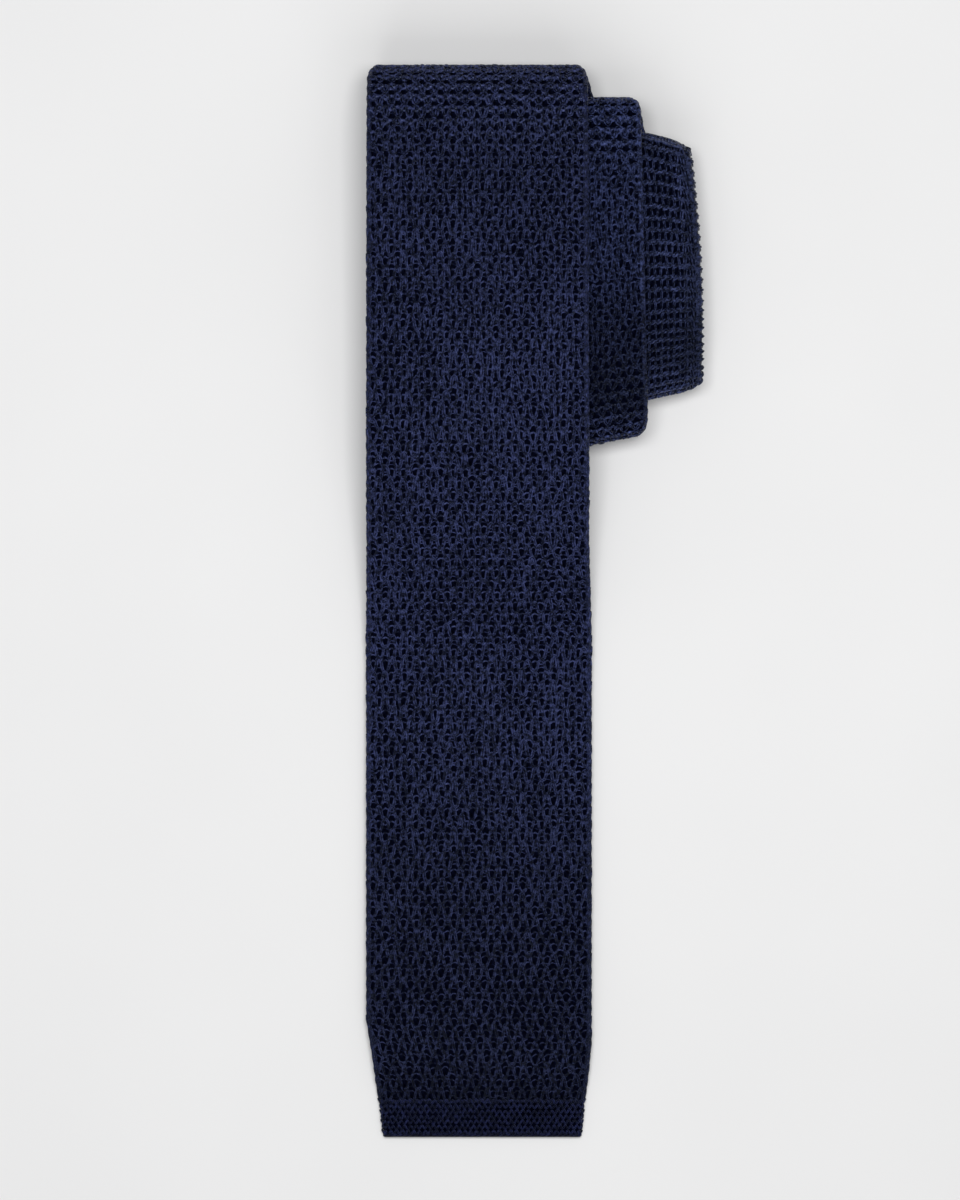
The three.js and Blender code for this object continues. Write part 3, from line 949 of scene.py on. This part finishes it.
NET_YARN = yarn_material("net_yarn", NAVY_DARK, (0.062, 0.079, 0.224),
                         roughness=0.25, specular=0.3, painted_shade=FRONT_PAINTED_SHADE)
THIRD_YARN = yarn_material("third_yarn", NAVY_DARK, (0.057, 0.077, 0.213),
                           roughness=0.25, specular=0.22, painted_shade=THIRD_PAINTED_SHADE)
EDGE_YARN = yarn_material("edge_yarn", (0.0026, 0.0038, 0.015), (0.022, 0.029, 0.094),
                          roughness=0.34, specular=0.22, painted_shade=FRONT_PAINTED_SHADE)
RIB_YARN = yarn_material("rib_yarn", NAVY_DARK, (0.063, 0.083, 0.220), roughness=0.26,
                         specular=0.32, painted_shade=RIB_PAINTED_SHADE, side_painted_shade=RIB_SIDE_PAINTED_SHADE)
INNER_YARN = yarn_material("inner_yarn", (0.0042, 0.0058, 0.020), (0.060, 0.080, 0.236),
                           roughness=0.25, specular=0.5)
HEM_YARN = yarn_material("hem_yarn", (0.0009, 0.0012, 0.006), (0.0190, 0.0250, 0.094),
                         roughness=0.34, specular=0.26, ply=0.8)
# The bodies' painted shade covers the hems all over, the blade and neck in the middle under
# the yarn, and the tail not at all
COVERED_BODY = body_material("covered_knit", bare_from=2 * NET_ROUND)
EDGED_BODY = body_material("edged_knit", bare_from=9.6)
BARE_BODY = body_material("bare_knit", bare_from=-1.0)

# The parts of the tie, by where they start and end on the tube

HEM_TOP = arc_at(HEM_LENGTH - HALF_GAP)
BLADE_START = arc_at(HEM_LENGTH + HALF_GAP)
BLADE_END = neck_join()
NECK_END = neck_join(True)
TAIL_END = arc_at(TAIL_SHORT, True)
TAIL_HEM_TOP = arc_at(TAIL_SHORT + TAIL_HEM_LENGTH - HALF_GAP, True)
TAIL_START = arc_at(TAIL_SHORT + TAIL_HEM_LENGTH + HALF_GAP, True)

# How far yarn goes from the middle round the edges, in stitches, and the narrower bands
# where only an edge of a layer is seen
NET_REACH = 9.7
UNDER_REACH = 12.7
UNDER_BAND = 3
NET_BAND = 1.4
THIRD_FROM = 2.4
THIRD_LEFT = -6.5
RIB_REACH = 6.6
RIB_FROM = 0.5
RIB_BAND_FROM = 5.2
TAIL_STITCHES = 27
TAIL_REACH = 7.0
TAIL_INSIDE = -1.0
# The first course of the net reaches down over the hem's top
HEM_OVERLAP = 1.2


def piece(name, parts, material):
    """Makes one piece of the tie, riding on its one body."""
    made = quad_mesh(name, parts, material)
    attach(made, "root")
    return made


def net(start, end, low, high, detail, **more):
    """Net courses between two arc lengths."""
    return net_courses(courses_between(start, end, NET_ROW), low, high, detail, **more)


def both_strands(start, end):
    """The lengthwise strands of both edges."""
    return edge_strands(start, end, -1) + edge_strands(start, end, 1)


front_cuts = np.linspace(BLADE_START - HEM_OVERLAP, arc_of(2), 4)
for place, (start, end) in zip(("lower", "middle", "top"), zip(front_cuts, front_cuts[1:])):
    piece(f"blade_net_{place}", net(start, end, -NET_REACH, NET_REACH, FINE),
          NET_YARN)
piece("blade_edges", both_strands(BLADE_START, arc_of(2)), EDGE_YARN)
piece("blade_net_under",
      net(arc_of(2), arc_of(3), -NET_REACH, UNDER_BAND - NET_REACH, PLAIN)
      + net(arc_of(2), arc_of(3), NET_REACH - UNDER_BAND, NET_REACH, PLAIN)
      + net(arc_of(1), arc_of(4), -UNDER_REACH, -NET_REACH, PLAIN), INNER_YARN)
piece("blade_net_third",
      net(arc_of(3), arc_of(6), THIRD_FROM, NET_REACH, FINE)
      + net(arc_of(3), arc_of(6), -NET_REACH, THIRD_LEFT, PLAIN), THIRD_YARN)
piece("blade_net_fourth",
      net(arc_of(6), BLADE_END, -NET_REACH, NET_BAND - NET_REACH, PLAIN)
      + net(arc_of(6), BLADE_END, NET_REACH - NET_BAND, NET_REACH, PLAIN),
      NET_YARN)
piece("blade_third_edges", both_strands(arc_of(2), BLADE_END), THIRD_YARN)
piece("blade_hem_courses", hem_courses(0, HEM_TOP), HEM_YARN)
piece("tail_hem_courses", hem_courses(TAIL_END, TAIL_HEM_TOP), HEM_YARN)

# The tail's left edge, and in the coil's inmost turns also its face towards the left
tail_cuts = (NECK_END, arc_of(4, True), arc_of(1, True), TAIL_START)
tail_rights = (NET_BAND - TAIL_REACH, TAIL_INSIDE, NET_BAND - TAIL_REACH)
tail_net = net(NECK_END, TAIL_START, TAIL_REACH - NET_BAND, TAIL_REACH, PLAIN,
               stitches=TAIL_STITCHES)
for start, end, right in zip(tail_cuts, tail_cuts[1:], tail_rights):
    tail_net += net(start, end, -TAIL_REACH, right, PLAIN, stitches=TAIL_STITCHES)
piece("tail_net", tail_net, INNER_YARN)

piece("neck_ribs",
      rib_courses(pushed_rows(NECK_FOLD, NECK_SHOWN), RIB_FROM, RIB_REACH, FINE)
      + rolled_fold(RIB_FROM, RIB_REACH), RIB_YARN)
piece("neck_edges",
      rib_courses(even_rows(BLADE_END, NECK_FOLD), RIB_BAND_FROM, RIB_REACH, PLAIN)
      + rib_courses(even_rows(BLADE_END, NECK_END), -RIB_REACH, -RIB_BAND_FROM, PLAIN)
      + rib_courses(even_rows(NECK_SHOWN, NECK_END), RIB_BAND_FROM, RIB_REACH, PLAIN)
      + edge_strands(BLADE_END, NECK_END, 1), RIB_YARN)

BODIES = {
    "blade_hem_body": ("blade_hem", 0, HEM_TOP, COVERED_BODY, "hem_knit"),
    "blade_body": ("blade", BLADE_START, BLADE_END - HALF_GAP, EDGED_BODY, "net_knit"),
    "neck_body": ("neck", BLADE_END + HALF_GAP, NECK_END - HALF_GAP, EDGED_BODY, "rib_knit"),
    "tail_body": ("tail", NECK_END + HALF_GAP, TAIL_START, BARE_BODY, "net_knit"),
    "tail_hem_body": ("tail_hem", TAIL_HEM_TOP, TAIL_END, COVERED_BODY, "hem_knit"),
}
for name, (solid, start, end, material, finish) in BODIES.items():
    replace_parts(piece(name, [shell(start, end)], material), solid)


# Floor, light and camera

# The floor's half side in metres
FLOOR_REACH = 8.0
# The camera's place in metres, straight over the photo's middle
CAMERA_PLACE = (-0.01417, 0.0007, 1.8)
# Its focal length and the photo's height in the photo's pixels, and its sensor's height in
# millimetres
FOCAL_PIXELS = 6766
IMAGE_HEIGHT = 1200
SENSOR = 36


def floor():
    """A plain pale floor with a very faint grain."""
    mesh = bpy.data.meshes.new("stage_floor")
    corners = [(x * FLOOR_REACH, y * FLOOR_REACH, 0)
               for x, y in ((-1, -1), (1, -1), (1, 1), (-1, 1))]
    mesh.from_pydata(corners, [], [(0, 1, 2, 3)])
    material, tree, shader = material_of("pale_floor", roughness=0.9, sheen=0.0, specular=0.2)
    place = node(tree, "ShaderNodeTexCoord").outputs["Object"]
    grain = noise(tree, place, scale=14.0, detail=2.0)
    colour = ramp_colour(tree, grain, [(0, (0.8, 0.8, 0.8)), (1, (0.84, 0.84, 0.84))])
    fill(tree, shader, [("Base Color", colour)])
    mesh.materials.append(material)
    made = bpy.data.objects.new("stage_floor", mesh)
    bpy.context.scene.collection.objects.link(made)


def area_light(name, place, target, size, power):
    """A rectangular soft light at a place, turned to a target."""
    lamp = bpy.data.lights.new(name, "AREA")
    lamp.shape = "RECTANGLE"
    lamp.size, lamp.size_y = size
    lamp.energy = power
    made = bpy.data.objects.new(name, lamp)
    made.location = place
    toward = Vector(target) - Vector(place)
    made.rotation_euler = toward.to_track_quat("-Z", "Y").to_euler()
    bpy.context.scene.collection.objects.link(made)


floor()
area_light("window", place=(0.0, 0.14, 0.95), target=(0, 0.08, 0), size=(0.4, 0.25), power=5.6)
area_light("fill", place=(0.1, -2.0, 2.0), target=(0, 0, 0), size=(2.6, 2.6), power=34)

world = bpy.data.worlds.new("studio")
world.use_nodes = True
world.node_tree.nodes["Background"].inputs["Color"].default_value = (1, 1, 1, 1)
world.node_tree.nodes["Background"].inputs["Strength"].default_value = 0.24
bpy.context.scene.world = world
bpy.context.scene.view_settings.view_transform = "Standard"

camera = bpy.data.objects.new("camera", bpy.data.cameras.new("camera"))
camera.data.sensor_fit = "VERTICAL"
camera.data.sensor_height = SENSOR
camera.data.lens = SENSOR * FOCAL_PIXELS / IMAGE_HEIGHT
camera.data.clip_end = 20
camera.location = CAMERA_PLACE
bpy.context.scene.collection.objects.link(camera)
bpy.context.scene.camera = camera

bpy.context.view_layer.update()
